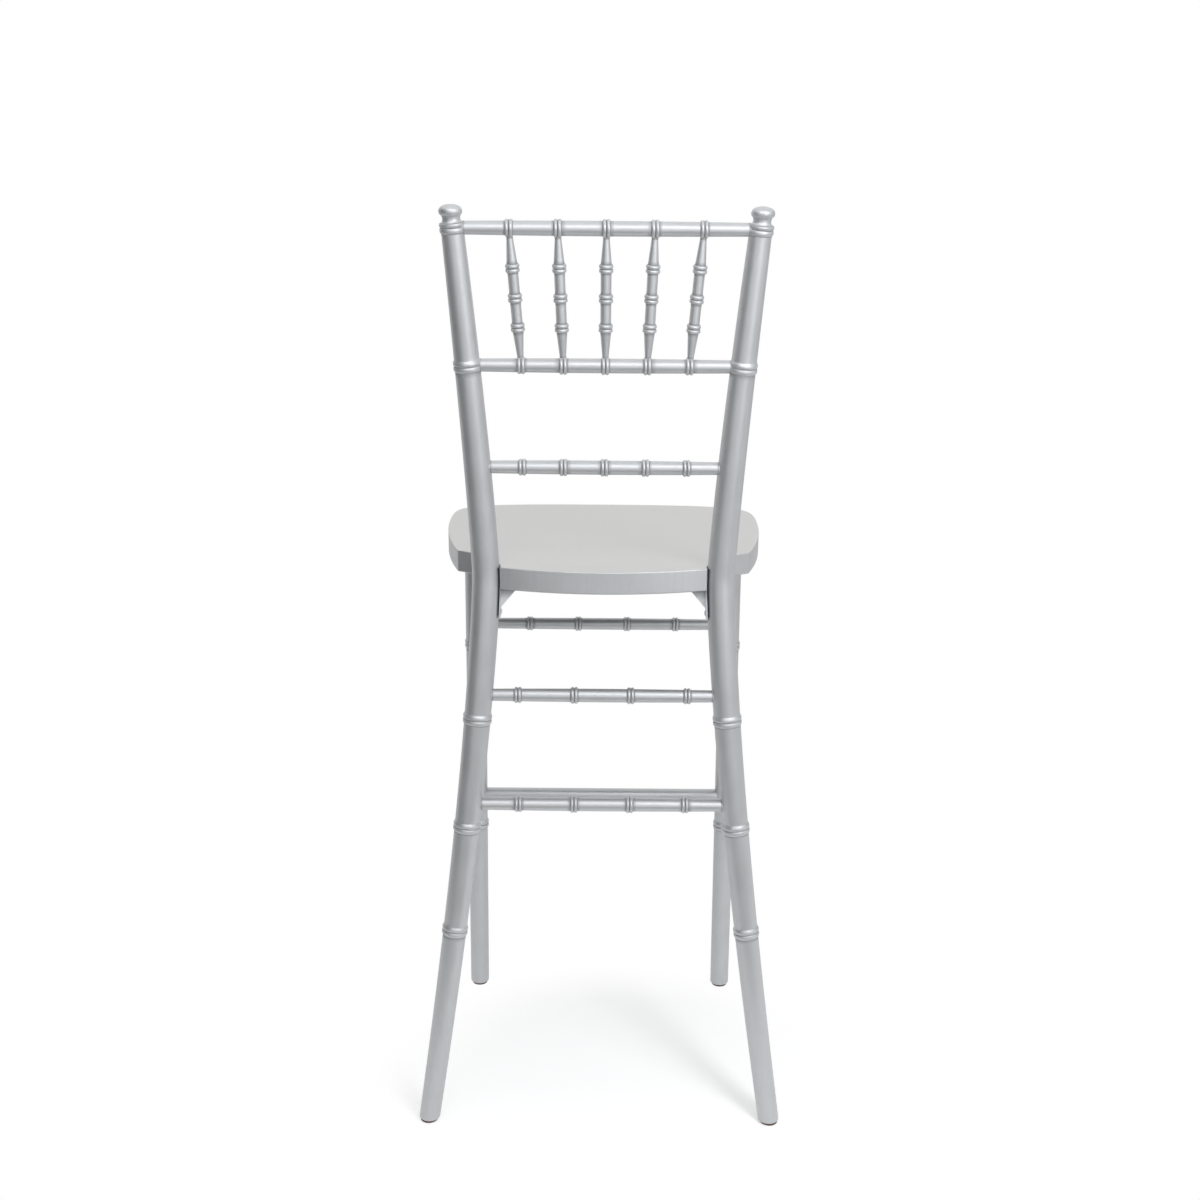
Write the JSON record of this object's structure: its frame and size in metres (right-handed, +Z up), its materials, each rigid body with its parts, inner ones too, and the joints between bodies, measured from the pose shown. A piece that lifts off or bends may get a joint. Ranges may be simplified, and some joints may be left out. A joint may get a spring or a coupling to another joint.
{
  "type": "bar stool",
  "caption": "Tall bar stool with a slab seat, bent and ring-turned rear posts, a low spindled back, ringed stretchers and a front footrest.",
  "frame": {"origin": "on the floor, under the middle of the stool's bounding box", "axes": "+Z up, the sitter faces -Y with the back at +Y, and the sitter's left is at +X"},
  "size_m": [0.478, 0.4337, 1.1753],
  "materials": {
    "silver_paint": "silver metallic satin paint on turned hardwood",
    "seat_paint": "silver metallic satin paint on a flat wooden slab",
    "zinc_steel": "bright zinc-plated steel",
    "glide_plastic": "moulded brown plastic"
  },
  "bodies": {
    "root": {"rear_post_left": "silver_paint", "rear_post_right": "silver_paint", "front_leg_left": "silver_paint", "front_leg_right": "silver_paint", "seat": "seat_paint", "crest_rail": "silver_paint", "lower_back_rail": "silver_paint", "lumbar_rail": "silver_paint", "spindle_1": "silver_paint", "spindle_2": "silver_paint", "spindle_3": "silver_paint", "spindle_4": "silver_paint", "spindle_5": "silver_paint", "front_upper_stretcher": "silver_paint", "footrest": "silver_paint", "rear_upper_stretcher": "silver_paint", "rear_lower_stretcher": "silver_paint", "side_upper_stretcher_left": "silver_paint", "side_upper_stretcher_right": "silver_paint", "side_lower_stretcher_left": "silver_paint", "side_lower_stretcher_right": "silver_paint", "front_glide_left": "glide_plastic", "front_glide_right": "glide_plastic", "rear_glide_left": "glide_plastic", "rear_glide_right": "glide_plastic", "seat_bracket_left": "zinc_steel", "seat_bracket_right": "zinc_steel", "post_screw_left": "zinc_steel", "post_screw_right": "zinc_steel", "seat_screw_left": "zinc_steel", "seat_screw_right": "zinc_steel"}
  },
  "joints": []
}
